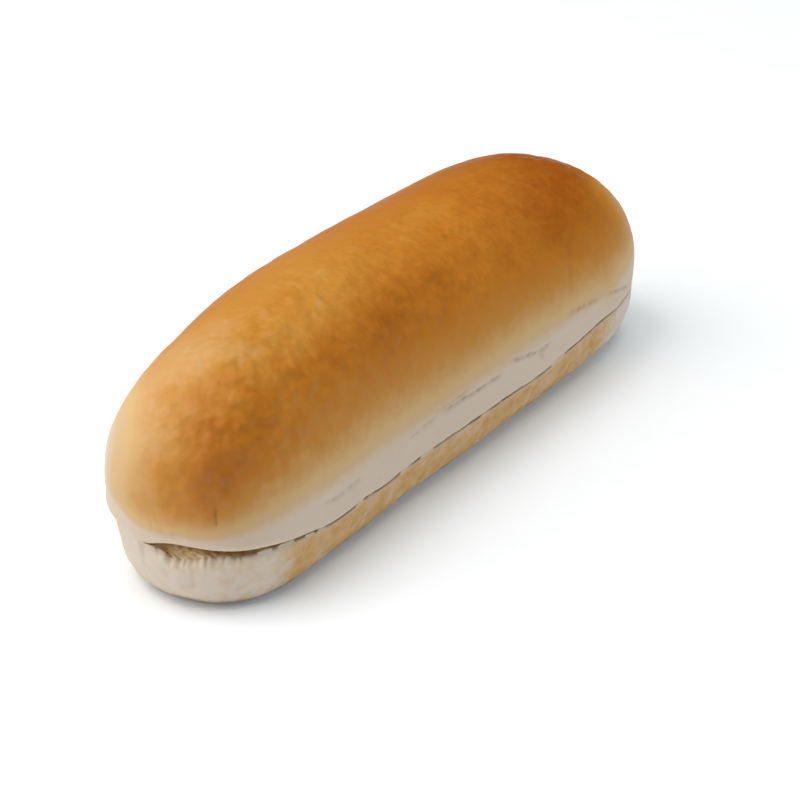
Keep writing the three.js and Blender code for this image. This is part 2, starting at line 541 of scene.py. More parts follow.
@dataclass(frozen=True)
class Groove:
    """A fold, crack or dent in the skin, along places given as (turn, level)."""

    path: tuple[tuple[float, float], ...]
    depth: float
    half_width: float
    shade: float = 1.0
    steps: int = 8
    unevenness: float = 0.75
    reach_widths: float = 4.0
    taper: float = 9.0
    shallowest: float = 0.1
    waver_rates: tuple[float, float] = (1.9, 0.7)

    def line(self, loaf: Loaf) -> np.ndarray:
        """Lays the groove's bottom on the skin.

        Args:
            loaf: The loaf it lies on.

        Returns:
            Its closely spaced points.
        """
        turns, levels = np.array(self.path, float).T
        last = len(self.path) - 1
        passed = np.linspace(0, last, self.steps * last + 1)
        turn, level = (np.interp(passed, range(last + 1), values) for values in (turns, levels))
        return loaf.on_skin(turn, level)

    def depth_at(self, loaf: Loaf, points: np.ndarray) -> np.ndarray:
        """Measures how deep the groove is at each point.

        Args:
            loaf: The loaf it lies on.
            points: Points of the skin.

        Returns:
            The depth at each, in millimetres.
        """
        line = self.line(loaf)
        reach = self.reach_widths * self.half_width
        near = np.where(((points > line.min(0) - reach) & (points < line.max(0) + reach)).all(1))[0]
        nearest = np.full(len(near), np.inf)
        passed = np.zeros(len(near))
        travelled = np.concatenate([[0], np.cumsum(np.linalg.norm(np.diff(line, axis=0), axis=1))])
        for i, (a, b) in enumerate(zip(line[:-1], line[1:])):
            run = b - a
            t = np.clip(((points[near] - a) @ run) / (run @ run), 0, 1)
            away = np.linalg.norm(points[near] - a - t[:, None] * run, axis=1)
            closer = away < nearest
            nearest[closer] = away[closer]
            passed[closer] = lerp(travelled[i], travelled[i + 1], t[closer])
        share = passed / travelled[-1]
        taper = np.clip(self.taper * share * (1 - share), self.shallowest, 1)
        quick, slow = self.waver_rates
        waver = 1 - self.unevenness * (0.5 + 0.5 * np.sin(quick * passed) * np.sin(slow * passed + 1))
        depth = np.zeros(len(points))
        depth[near] = self.depth * taper * waver * bump(nearest, 0, self.half_width)
        return depth


GROOVES = (
    # The long fold above the slice, in the pieces that it breaks into.
    Groove(((299, 15.0), (296, 15.9), (292, 17.3), (288.5, 18.6)), 0.5, 0.34, 1.0),
    Groove(((286.5, 19.0), (283, 19.9), (280.2, 20.8)), 0.4, 0.34, 1.0),
    Groove(((278, 17.4), (277, 16.8), (276, 17.0), (274.8, 18), (273.8, 18.4), (272.5, 19.9)), 0.5, 0.34),
    Groove(((276, 17.0), (276.5, 15.8), (277, 14.5)), 0.4, 0.32, 0.9),
    Groove(((272, 17.4), (270.5, 18.0), (269.2, 17.9), (267.2, 18.0), (265.3, 18)), 0.5, 0.3, 1.1),
    Groove(((264.8, 18.1), (263, 17.8), (261.5, 17.5)), 0.4, 0.3, 1.0),
    Groove(((268.4, 19.4), (266, 19.0), (264.4, 19.1)), 0.35, 0.3, 0.8),
    Groove(((255, 16.0), (254, 16.3), (249, 16.0), (246.5, 16.6)), 0.35, 0.45, 0.7),
    # Short cracks and dents.
    Groove(((208.5, 24.2), (208.4, 21.9), (208.8, 19.6)), 0.4, 0.28, 1.1),
    Groove(((178.2, 20.0), (178.0, 17.8)), 0.25, 0.32, 0.8),
    Groove(((178.8, 18.0), (185.8, 17.5), (194.8, 16.9)), 0.3, 0.8, 0.25),
    Groove(((171.0, 14.4), (169.4, 12.4), (168.2, 10.6), (167.6, 9.0)), 0.5, 0.8, 0.35),
    Groove(((285.2, 33.5), (282.5, 28.6), (281.0, 23.3)), 0.16, 0.7, 0.9),
    Groove(((196.2, 11.0), (196.4, 6.5)), 0.35, 0.8, 0.25),
    Groove(((256.2, 6.2), (256.4, 5.7)), 0.7, 0.6, 1.0),
    Groove(((283.2, 20.1), (283.0, 19.8)), 0.6, 0.45, 1.2),
    # The same kind of folds along the back and round the far end.
    Groove(((48, 19.5), (58, 20.6), (70, 20.2), (81, 19.1)), 0.35, 0.45, 0.8),
    Groove(((88, 18.4), (97, 18.9), (104, 18.2), (112, 18.8)), 0.4, 0.42, 0.8),
    Groove(((122, 17.6), (131, 17.0), (139, 17.5)), 0.25, 0.5, 0.7),
    Groove(((333, 21.0), (342, 21.8), (352, 21.4)), 0.3, 0.45, 0.7),
    Groove(((12, 22.6), (21, 23.2), (30, 22.4)), 0.3, 0.45, 0.7),
)


@dataclass(frozen=True)
class Patch:
    """A round place on the skin that baked more, or less, than its surroundings."""

    turn: float
    level: float
    reach: float
    amount: float

    def at(self, loaf: Loaf, points: np.ndarray) -> np.ndarray:
        """How much this place adds at each point."""
        centre = loaf.on_skin(np.array([float(self.turn)]), np.array([float(self.level)]))[0]
        return self.amount * bump(np.linalg.norm(points - centre, axis=-1), 0, self.reach)


@dataclass(frozen=True)
class Oven:
    """How brown the skin baked, from 0 where it stayed pale to 1.

    line gives, by place along the bun, the level where the browning begins and how many
    millimetres it takes to deepen.
    """

    line: tuple[tuple[float, float, float], ...] = (
        (-80, 15.3, 4.2),
        (-77, 15.5, 4.4),
        (-69, 16.2, 8.6),
        (-50, 17.4, 10.9),
        (0, 17.7, 10.1),
        (50, 17.4, 9.5),
        (70, 19.5, 9.0),
    )
    full: float = 0.87
    onset: float = 1.35
    crest_drop: float = 0.26
    crest_from: float = 38.5
    crest_to: float = 45.5
    patches: tuple[Patch, ...] = (
        # The paler place at the near left, where the key light falls, is partly a paler bake and partly a
        # painted highlight.
        Patch(141, 30, 21, -0.6),
        Patch(140, 25, 9, -0.2),
        Patch(172, 18, 5, 0.15),
        Patch(207, 28.5, 8, 0.14),
        Patch(222, 32, 8, 0.04),
        Patch(289, 20, 4, 0.1),
        Patch(313, 33, 8, -0.42),
        Patch(284, 36, 8, 0.12),
        Patch(300, 37, 14, 0.12),
        Patch(335, 36, 18, 0.12),
        Patch(30, 36, 18, 0.12),
    )
    coarse_least: float = 0.35
    coarse_top: tuple[float, float] = (31.0, 37.0)
    coarse_near: tuple[float, float] = (-46.0, -62.0)
    near_share: float = 0.3
    coarse_crest: tuple[float, float] = (40.0, 44.0)
    crest_calm: float = 0.35
    calm_back: tuple[float, float] = (6.0, 14.0)
    calm_far: tuple[float, float] = (-30.0, 45.0)
    calm_shares: tuple[float, float] = (0.75, 0.5)
    rough: Patch = Patch(236, 40, 16, 0.4)
    toast_front: float = 0.5
    toast_tips: float = 0.04
    toast_sole: float = 0.6
    sole_from: float = 0.3
    toast_edge: float = 0.25
    edge_height: float = 1.7
    toast_from: float = 231.0
    toast_to: float = 296.0
    toast_fade: float = 11.0

    def crown(self, loaf: Loaf, points: np.ndarray) -> np.ndarray:
        """Works out how brown the crown is.

        Args:
            loaf: The loaf that the points lie on.
            points: Points of the skin.

        Returns:
            The browning at each point.
        """
        x, level = points[..., 0], points[..., 2]
        stations, starts, lengths = np.array(self.line).T
        climb = np.clip((level - np.interp(x, stations, starts)) / np.interp(x, stations, lengths), 0, None)
        bake = self.full * (1 - np.exp(-(climb**self.onset)))
        bake = bake - self.crest_drop * ease(level, self.crest_from, self.crest_to)
        return np.clip(bake + sum(patch.at(loaf, points) for patch in self.patches), 0, 1)

    def coarseness(self, loaf: Loaf, points: np.ndarray) -> np.ndarray:
        """Works out how wrinkled the skin dried.

        Args:
            loaf: The loaf that the points lie on.
            points: Points of the skin.

        Returns:
            How wrinkled each point is: most on the dome's front shoulder, less on its crest, its
            back and its far part, and least on the front.
        """
        x, y, level = points[..., 0], points[..., 1], points[..., 2]
        back = 1 - self.calm_shares[0] * ease(y, *self.calm_back)
        far = 1 - self.calm_shares[1] * ease(x, *self.calm_far)
        crest = 1 - self.crest_calm * ease(level, *self.coarse_crest)
        on_top = ease(level, *self.coarse_top) * crest * far
        near = self.near_share * ease(x, *self.coarse_near)
        return back * (lerp(self.coarse_least, 1, np.maximum(on_top, near)) + self.rough.at(loaf, points))

    def heel(self, turn: np.ndarray, level: np.ndarray, share: np.ndarray) -> np.ndarray:
        """How brown the heel is: toasted along its sides, darkest where it met the tray.

        Args:
            turn: Degrees round the bun.
            level: Height above the table.
            share: On the underside, how far out from its middle, and 1 on the side.

        Returns:
            The browning at each point.
        """
        front = between(turn_round(turn), self.toast_from, self.toast_to, self.toast_fade)
        back = between(360 - turn, self.toast_from, self.toast_to, self.toast_fade)
        sides = lerp(self.toast_tips, self.toast_front, np.maximum(front, back))
        edge = self.toast_edge * bump(level, 0, self.edge_height)
        return lerp(self.toast_sole, sides + edge, ease(share, self.sole_from, 1))


# --- The bun ------------------------------------------------------------------------------


class Field(Enum):
    """What each point of the bun's skin carries for its relief and its finish."""

    BAKE = "bake"
    TOAST = "toast"
    HEEL = "heel"
    SKIN = "skin"
    CRUMB = "crumb"
    TORN = "torn"
    PIT = "pit"
    COARSE = "coarse"
    GROOVE = "groove"
    # How much painted shade darkens the colour: in the grooves, and along the bottom edge where the bun meets
    # the table.
    SHADE = "shade"


@dataclass(frozen=True)
class Weave:
    """How the columns of points stand round the bun, and how many points each stretch has.

    survey is how many places the rim is measured at to space them.
    """

    columns: int = 816
    survey: int = 1441
    near_from: float = 122.0
    near_fade: float = 16.0
    near_density: float = 1.9
    base: int = 5
    heel: int = 24
    heel_gather: float = 0.85
    cut: int = 10
    cut_gather: float = 3.0
    crown: int = 80
    crown_gather: float = 1.2


@dataclass(frozen=True)
class Lips:
    """The slice's two lips in each column.

    upper and lower are the levels of the crown's lip and the heel's, and inset and out say how far
    the lips are rounded back and how far the heel's tufts stand out. crown and heel are the lips'
    points, and even is the heel's lip without its tufts.
    """

    upper: np.ndarray
    lower: np.ndarray
    inset: np.ndarray
    out: np.ndarray
    crown: np.ndarray
    heel: np.ndarray
    even: np.ndarray


@dataclass
class Bun:
    """The whole bun: heel, crown and the slice between them, as one closed skin."""

    loaf: Loaf
    cut: Slice
    oven: Oven
    grooves: tuple[Groove, ...]
    weave: Weave
    torn_reach: float = 2.4
    torn_edge: float = 0.8
    torn_above: float = 0.2
    torn_inside: float = 0.2
    pit_reach: float = 1.0
    inside_reach: float = 1.2
    coarse_onset: float = 1.8
    heel_blend: float = 1.2
    # Painted shadow: the colour darkens along the bottom edge and the underside, where the bun meets the
    # table.
    rim_shade: float = 0.8
    rim_rise: float = 1.5
    apex_share: float = 0.25
    name: str = "bun_baked"

    def turns(self) -> np.ndarray:
        """Spaces the columns: closer at the torn near end, and the same on both sides.

        Returns:
            Each column's turn.
        """
        fine = np.linspace(0, 180, self.weave.survey)
        rim = self.loaf.place(fine, np.ones_like(fine), np.zeros_like(fine))
        middles = (fine[:-1] + fine[1:]) / 2
        near = ease(middles, self.weave.near_from, self.weave.near_from + self.weave.near_fade)
        steps = np.linalg.norm(np.diff(rim, axis=0), axis=1) * lerp(1, self.weave.near_density, near)
        travelled = np.concatenate([[0], np.cumsum(steps)])
        goals = np.linspace(0, travelled[-1], self.weave.columns // 2 + 1)
        half = np.interp(goals, travelled, fine)
        return np.concatenate([half, 360 - half[-2:0:-1]])

    def columns(self) -> tuple[np.ndarray, dict[Field, np.ndarray]]:
        """Lays out the grid of points, in rows from the middle of the underside to the spine.

        Returns:
            The points, as columns by rows by 3, and for each field its value at every point.
        """
        weave = self.weave
        turn = self.turns()[:, None]
        lips = self.lips(turn)
        heel_face, crown_face, run = self.cut_faces(turn, lips)
        under, heel, crown = self.underside(turn), self.heel(turn, lips), self.crown(turn, lips)
        points = np.concatenate([under, heel, heel_face, crown_face, crown], axis=1)

        first_cut = weave.base + weave.heel
        cut_rows = slice(first_cut, first_cut + 2 * weave.cut)
        is_cut = np.zeros(points.shape[:2], bool)
        is_cut[:, cut_rows] = self.cut.is_open(turn)
        depth_in = np.zeros(points.shape[:2])
        depth_in[:, cut_rows] = np.concatenate([run, run[:, ::-1]], axis=1)
        sole_share = np.ones(points.shape[1])
        sole_share[: weave.base] = self.base_shares() / self.loaf.base_share
        turn = np.broadcast_to(turn, points.shape[:2])
        return points, self.fields(points, turn, is_cut, depth_in, sole_share, lips)

    def lips(self, turn: np.ndarray) -> Lips:
        """Finds the slice's two lips.

        Args:
            turn: Each column's turn.

        Returns:
            The lips in each column.
        """
        loaf, cut = self.loaf, self.cut
        upper = cut.level(loaf, turn)
        even = upper - cut.gap(loaf, turn)
        tufts = cut.edge.tufts(turn) * cut.torn(turn)
        lower = even + cut.edge.rise * tufts
        out = cut.edge.out * tufts
        inset = cut.inset(loaf, turn)
        return Lips(
            upper=upper,
            lower=lower,
            inset=inset,
            out=out,
            crown=loaf.on_skin(turn, upper, inset),
            heel=loaf.on_skin(turn, lower, inset - out),
            even=loaf.on_skin(turn, even, inset),
        )

    def base_shares(self) -> np.ndarray:
        """How far out each row of the underside lies."""
        return np.linspace(0, self.loaf.base_share, self.weave.base, endpoint=False)

    def underside(self, turn: np.ndarray) -> np.ndarray:
        """The flat underside's points, from its middle outwards."""
        return self.loaf.place(turn, self.base_shares()[None, :], 0.0 * turn)

    def heel(self, turn: np.ndarray, lips: Lips) -> np.ndarray:
        """Lays out the heel's side, from the table up to its lip.

        Args:
            turn: Each column's turn.
            lips: The slice's lips.

        Returns:
            The points.
        """
        loaf, weave = self.loaf, self.weave
        sweep = np.arccos(1 - lips.lower / loaf.widest_level)
        climbs = sweep * np.linspace(0, 1, weave.heel) ** weave.heel_gather
        levels = loaf.widest_level * (1 - np.cos(climbs))
        below = lips.lower - levels
        out = lips.out * bump(below, 0, self.cut.edge.hang)
        side = loaf.on_skin(turn, levels, lips.inset * self.lip_rounding(turn, below) - out)
        side[:, -1:] = lips.heel
        return side

    def cut_faces(self, turn: np.ndarray, lips: Lips) -> tuple[np.ndarray, np.ndarray, np.ndarray]:
        """Lays out the two faces inside the slice, which shrink to their lips where it is shut.

        Args:
            turn: Each column's turn.
            lips: The slice's lips.

        Returns:
            The heel's face from its lip inwards, the crown's face from its inner end out to its lip,
            and how far inside the slice the heel's points lie, in millimetres.
        """
        cut = self.cut
        hinge = cut.inner_line(self.loaf, turn)
        half_gap = np.array([0, 0, cut.inner_gap / 2])
        opened = cut.is_open(turn)[..., None]
        heel_inner = np.where(opened, hinge - half_gap, lips.even)
        crown_inner = np.where(opened, hinge + half_gap, lips.crown)
        inward = np.linspace(0, 1, self.weave.cut + 1)[1:, None] ** self.weave.cut_gather
        run = np.linalg.norm(hinge - lips.even, axis=-1) * inward[:, 0]
        fading = bump(run, 0, cut.edge.reach)[..., None]
        heel_face = lips.even + (heel_inner - lips.even) * inward + (lips.heel - lips.even) * fading
        crown_face = lips.crown + (crown_inner - lips.crown) * inward[::-1]
        return heel_face, crown_face, run

    def crown(self, turn: np.ndarray, lips: Lips) -> np.ndarray:
        """Lays out the crown, from its lip round the widest line and over to the spine.

        Args:
            turn: Each column's turn.
            lips: The slice's lips.

        Returns:
            The points.
        """
        loaf, weave = self.loaf, self.weave
        rim = loaf.rim_height(turn)
        first = np.arcsin(np.clip((lips.upper - loaf.widest_level) / rim, -1, 1))
        climb = np.sin(lerp(first, np.pi / 2, np.linspace(0, 1, weave.crown) ** weave.crown_gather))
        over = np.maximum(climb, 0)
        share = np.maximum(0, 1 - over**loaf.dome_shoulder) ** (1 / loaf.dome_round)
        _, height, _ = loaf.girth(loaf.spine_x(turn, share), turn)
        levels = loaf.widest_level + climb * np.where(climb > 0, height - loaf.widest_level, rim)
        rounding = lips.inset * self.lip_rounding(turn, levels - lips.upper)
        undercut = loaf.on_skin(turn, levels, rounding)
        moved = loaf.bulge_share(turn, levels, rounding) * np.minimum(1, share / self.apex_share)
        dome = loaf.place(turn, share + moved, levels)
        side = np.where((climb > 0)[..., None], dome, undercut)
        side[:, :1] = lips.crown
        return side

    def lip_rounding(self, turn: np.ndarray, away: np.ndarray) -> np.ndarray:
        """The share of the lips' inset at a height above or below the lip."""
        t = np.clip(1 - away / (self.cut.lip_height + self.cut.torn_height * self.cut.torn(turn)), 0, 1)
        return 1 - np.sqrt(1 - t**2)

    def fields(
        self,
        points: np.ndarray,
        turn: np.ndarray,
        is_cut: np.ndarray,
        depth_in: np.ndarray,
        sole_share: np.ndarray,
        lips: Lips,
    ) -> dict[Field, np.ndarray]:
        """Works out what every point of the grid carries.

        Args:
            points: The grid of points.
            turn: Each point's turn.
            is_cut: Which points lie inside the slice.
            depth_in: How far inside the slice each lies, in millimetres.
            sole_share: How far out each row lies on the underside, and 1 above it.
            lips: The slice's lips.

        Returns:
            Each field's value at every point.
        """
        level = points[..., 2]
        bake = self.oven.crown(self.loaf, points) * ~is_cut
        coarse = self.oven.coarseness(self.loaf, points)
        blend_top = lips.upper + self.heel_blend * ~self.cut.is_open(turn)
        on_heel = ease(level, blend_top, lips.lower - self.heel_blend)
        below, above = np.maximum(lips.lower - level, 0), np.maximum(level - lips.upper, 0)
        torn = self.cut.torn(turn)
        on_crown = self.torn_above * bump(above, 0, self.torn_edge)
        outside = np.where(below > 0, bump(below, 0, self.torn_reach), on_crown)
        inside = self.torn_inside * bump(depth_in, 0, self.inside_reach)
        return {
            Field.BAKE: bake,
            Field.COARSE: coarse * np.minimum(1, self.coarse_onset * bake),
            Field.TOAST: self.oven.heel(turn, level, sole_share),
            Field.HEEL: on_heel * ~is_cut,
            Field.SKIN: 1.0 * ~is_cut,
            Field.CRUMB: 1.0 * is_cut,
            Field.TORN: torn * np.where(is_cut, inside, outside),
            Field.PIT: is_cut * bump(depth_in, 0, self.pit_reach),
        }

    def skin(self) -> bpy.types.Mesh:
        """Welds the grid into one closed mesh and writes its fields.

        Returns:
            The mesh, in metres, with its box centred on the node that it stands for.
        """
        points, fields = self.columns()
        count, rows = points.shape[:2]
        flat = points.reshape(-1, 3)
        rounded = np.round(flat, WELD_DIGITS)
        _, first, shared = np.unique(rounded, axis=0, return_index=True, return_inverse=True)
        shared = shared.reshape(count, rows)
        onward = np.roll(shared, -1, axis=0)
        quads = np.stack([shared[:, :-1], onward[:, :-1], onward[:, 1:], shared[:, 1:]], -1).reshape(-1, 4)
        faces = []
        for quad in quads.tolist():
            corners = list(dict.fromkeys(quad))
            if len(corners) > 2:
                faces.append(corners)
        place = flat[first]

        low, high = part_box(NODE)
        middle = (place.min(0) + place.max(0)) / 2
        shift = np.array([(low.x + high.x) / 2 / MM - middle[0], (low.y + high.y) / 2 / MM - middle[1], 0])
        mesh = bpy.data.meshes.new(self.name)
        mesh.from_pydata(((place + shift) * MM).tolist(), [], faces)
        for field, values in fields.items():
            self.write(mesh, field, values.ravel()[first])
        self.mark(mesh, place, fields[Field.SKIN].ravel()[first])
        mesh.shade_smooth()
        mesh.update()
        return mesh

    def mark(self, mesh: bpy.types.Mesh, place: np.ndarray, skin: np.ndarray) -> None:
        """Works out the grooves' depth, and the shade painted into the grooves and along the bottom edge, and
        stores them on the mesh.

        Args:
            mesh: The bun's mesh.
            place: Its points, in millimetres.
            skin: 1 at each point of the skin and 0 inside the slice.
        """
        depths = np.zeros(len(place))
        # Painted shadow along the bottom edge and the underside, where the bun meets the table.
        shades = self.rim_shade * bump(place[:, 2], 0, self.rim_rise)
        for groove in self.grooves:
            depth = groove.depth_at(self.loaf, place) * skin
            depths = np.maximum(depths, depth)
            shades = np.maximum(shades, groove.shade * depth)
        self.write(mesh, Field.GROOVE, depths)
        self.write(mesh, Field.SHADE, shades)

    def write(self, mesh: bpy.types.Mesh, field: Field, values: np.ndarray) -> None:
        """Stores one field on the mesh's points."""
        layer = mesh.attributes.new(field.value, "FLOAT", "POINT")
        layer.data.foreach_set("value", values.astype(np.float32))

    def build(
        self, relief: "Relief", crust: bpy.types.Material, crumb: bpy.types.Material
    ) -> bpy.types.Object:
        """Makes the bun with its relief and its finishes.

        Args:
            relief: The surface relief.
            crust: The skin's finish.
            crumb: The cut faces' finish.

        Returns:
            The finished piece, riding on its body.
        """
        smooth = bpy.data.objects.new(self.name + "_smooth", self.skin())
        bpy.context.scene.collection.objects.link(smooth)
        inputs = relief.inputs(crust, crumb)
        piece = grown(smooth, relief.tree(inputs), inputs, self.name)
        bpy.data.objects.remove(smooth)
        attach(piece, BODY)
        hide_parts(NODE)
        return piece


# --- Geometry trees -------------------------------------------------------------------------


def grown(base: bpy.types.Object, tree: bpy.types.NodeTree, inputs: dict, name: str) -> bpy.types.Object:
    """Runs a geometry tree on an object and keeps the result as a plain mesh.

    Args:
        base: The object that the tree reads.
        tree: The geometry tree.
        inputs: The value of each of the tree's inputs, by name.
        name: The new piece's name.

    Returns:
        A new object at the origin that holds the result.
    """
    modifier = base.modifiers.new(tree.name, "NODES")
    modifier.node_group = tree
    for item in tree.interface.items_tree:
        if item.item_type == "SOCKET" and item.in_out == "INPUT" and item.name in inputs:
            modifier[item.identifier] = inputs[item.name]
    bpy.context.view_layer.update()
    evaluated = base.evaluated_get(bpy.context.evaluated_depsgraph_get())
    mesh = bpy.data.meshes.new_from_object(evaluated)
    base.modifiers.remove(modifier)
    mesh.name = name
    piece = bpy.data.objects.new(name, mesh)
    bpy.context.scene.collection.objects.link(piece)
    return piece


def new_tree(name: str, inputs: dict) -> bpy.types.NodeTree:
    """Starts a geometry tree.

    Args:
        name: The tree's name.
        inputs: The value that each named input will be given, which says its kind.

    Returns:
        The tree, with its inputs and its output declared and no nodes.
    """
    tree = bpy.data.node_groups.new(name, "GeometryNodeTree")
    tree.interface.new_socket("Geometry", in_out="INPUT", socket_type="NodeSocketGeometry")
    tree.interface.new_socket("Geometry", in_out="OUTPUT", socket_type="NodeSocketGeometry")
    kinds = {float: "NodeSocketFloat", int: "NodeSocketInt", bpy.types.Material: "NodeSocketMaterial"}
    for label, value in inputs.items():
        tree.interface.new_socket(label, in_out="INPUT", socket_type=kinds[type(value)])
    return tree


@dataclass(frozen=True)
class Ripple:
    """One scale of unevenness: the width of its features, its depth, and the field it shows in.

    upright is how many times taller than wide its features are.
    """

    name: str
    size: float
    depth: float
    detail: float
    field: Field
    upright: float = 1.0


@dataclass(frozen=True)
class Relief:
    """What stands up or sinks in on the bun's surface, in millimetres."""

    ripples: tuple[Ripple, ...] = (
        Ripple("Swell", 11.0, 0.25, 1.0, Field.SKIN),
        Ripple("Wrinkle", 2.7, 0.44, 0.0, Field.COARSE),
        Ripple("Rumple", 4.0, 0.3, 1.0, Field.HEEL),
        Ripple("Tuft", 1.3, 0.75, 1.0, Field.TORN, 1.25),
    )
    cell_size: float = 1.9
    cell_depth: float = 0.18
    cell_edge: float = 0.7
    flat_to: float = 1.4
    seed: int = 7
    seed_step: float = 2.7

    def inputs(self, crust: bpy.types.Material, crumb: bpy.types.Material) -> dict:
        """Lists the tree's inputs.

        Args:
            crust: The skin's finish.
            crumb: The cut faces' finish.

        Returns:
            The value of each input by its name.
        """
        sizes = {f"{ripple.name} Size": ripple.size * MM for ripple in self.ripples}
        depths = {f"{ripple.name} Depth": ripple.depth * MM for ripple in self.ripples}
        cells = {"Cell Size": self.cell_size * MM, "Cell Depth": self.cell_depth * MM}
        return sizes | depths | cells | {"Seed": self.seed, "Crust": crust, "Crumb": crumb}

    def tree(self, inputs: dict) -> bpy.types.NodeTree:
        """Builds the tree: it moves each point along its normal, then sets the finishes.

        Args:
            inputs: The tree's inputs by name.

        Returns:
            The geometry tree.
        """
        tree = new_tree("bun_relief", inputs)
        given = add(tree, "NodeGroupInput").outputs
        where = add(tree, "GeometryNodeInputPosition").outputs[0]
        field = {
            f: add(tree, "GeometryNodeInputNamedAttribute", {"Name": f.value}, data_type="FLOAT").outputs[0]
            for f in Field
        }
        grooved = add(tree, "ShaderNodeMath", {0: field[Field.GROOVE], 1: -MM}, operation="MULTIPLY")
        rippled = self.rippled(tree, given, where, field, grooved.outputs[0])
        height = self.pitted(tree, given, where, field[Field.PIT], rippled)

        # Next to the table the points move only sideways, so the underside stays flat on it.
        level = add(tree, "ShaderNodeSeparateXYZ", {0: where}).outputs["Z"]
        lifted = add(tree, "ShaderNodeMapRange", {"Value": level, "From Max": self.flat_to * MM})
        freedom = add(tree, "ShaderNodeCombineXYZ", {"X": 1.0, "Y": 1.0, "Z": lifted.outputs[0]})
        normal = add(tree, "GeometryNodeInputNormal").outputs[0]
        out = add(tree, "ShaderNodeVectorMath", {0: normal, "Scale": height}, operation="SCALE")
        offset = add(
            tree, "ShaderNodeVectorMath", {0: out.outputs[0], 1: freedom.outputs[0]}, operation="MULTIPLY"
        )
        moved = add(
            tree, "GeometryNodeSetPosition", {"Geometry": given["Geometry"], "Offset": offset.outputs[0]}
        )
        inside = add(tree, "FunctionNodeCompare", {0: field[Field.CRUMB], 1: 0.5}, operation="GREATER_THAN")
        real = add(tree, "GeometryNodeRealizeInstances", {0: moved.outputs[0]})
        skinned = add(
            tree, "GeometryNodeSetMaterial", {"Geometry": real.outputs[0], "Material": given["Crust"]}
        )
        dressed = add(
            tree,
            "GeometryNodeSetMaterial",
            {"Geometry": skinned.outputs[0], "Selection": inside.outputs[0], "Material": given["Crumb"]},
        )
        add(tree, "NodeGroupOutput", {0: dressed.outputs[0]})
        return tree

    def rippled(
        self,
        tree: bpy.types.NodeTree,
        given: bpy.types.NodeOutputs,
        where: bpy.types.NodeSocket,
        field: dict[Field, bpy.types.NodeSocket],
        height: bpy.types.NodeSocket,
    ) -> bpy.types.NodeSocket:
        """Adds every ripple to the height so far.

        Args:
            tree: The geometry tree.
            given: The tree's inputs.
            where: The point on the bun.
            field: What the point carries.
            height: How far out the point has moved so far.

        Returns:
            How far out it moves with the ripples.
        """
        for i, ripple in enumerate(self.ripples):
            scale = add(tree, "ShaderNodeMath", {0: 1.0, 1: given[f"{ripple.name} Size"]}, operation="DIVIDE")
            upright = (1.0, 1.0, 1 / ripple.upright)
            drawn_out = add(tree, "ShaderNodeVectorMath", {0: where, 1: upright}, operation="MULTIPLY")
            seed = add(tree, "ShaderNodeMath", {0: given["Seed"], 1: self.seed_step * i}, operation="ADD")
            noise = add(
                tree,
                "ShaderNodeTexNoise",
                {"Vector": drawn_out.outputs[0], "W": seed.outputs[0], "Scale": scale.outputs[0],
                 "Detail": ripple.detail},
                noise_dimensions="4D",
            )
            centred = add(tree, "ShaderNodeMapRange", {"Value": noise.outputs[0], "To Min": -1.0})
            depth = add(
                tree, "ShaderNodeMath", {0: given[f"{ripple.name} Depth"], 1: field[ripple.field]},
                operation="MULTIPLY",
            )
            height = add(
                tree, "ShaderNodeMath", {0: centred.outputs[0], 1: depth.outputs[0], 2: height},
                operation="MULTIPLY_ADD",
            ).outputs[0]
        return height

    def pitted(
        self,
        tree: bpy.types.NodeTree,
        given: bpy.types.NodeOutputs,
        where: bpy.types.NodeSocket,
        pit: bpy.types.NodeSocket,
        height: bpy.types.NodeSocket,
    ) -> bpy.types.NodeSocket:
        """Sinks the crumb's small holes into the height so far.

        Args:
            tree: The geometry tree.
            given: The tree's inputs.
            where: The point on the bun.
            pit: How much of the holes shows at the point.
            height: How far out the point has moved so far.

        Returns:
            How far out it moves with the holes.
        """
        scale = add(tree, "ShaderNodeMath", {0: 1.0, 1: given["Cell Size"]}, operation="DIVIDE")
        cells = add(
            tree, "ShaderNodeTexVoronoi", {"Vector": where, "Scale": scale.outputs[0]}, feature="SMOOTH_F1"
        )
        holes = add(
            tree, "ShaderNodeMapRange", {"Value": cells.outputs["Distance"], "From Max": self.cell_edge,
                                         "To Min": -1.0, "To Max": 0.0},
        )
        depth = add(tree, "ShaderNodeMath", {0: given["Cell Depth"], 1: pit}, operation="MULTIPLY")
        return add(
            tree, "ShaderNodeMath", {0: holes.outputs[0], 1: depth.outputs[0], 2: height},
            operation="MULTIPLY_ADD",
        ).outputs[0]


# --- Finishes -----------------------------------------------------------------------------


def new_material(name: str) -> tuple[bpy.types.Material, bpy.types.NodeTree]:
    """Starts a node material.

    Args:
        name: The real material's name.

    Returns:
        The material and its empty tree.
    """
    material = bpy.data.materials.new(name)
    material.use_nodes = True
    material.node_tree.nodes.clear()
    return material, material.node_tree


@dataclass(frozen=True)
class Grain:
    """One scale of uneven colour: the width of its features and how far it shifts the browning."""

    size: float
    strength: float
    detail: float


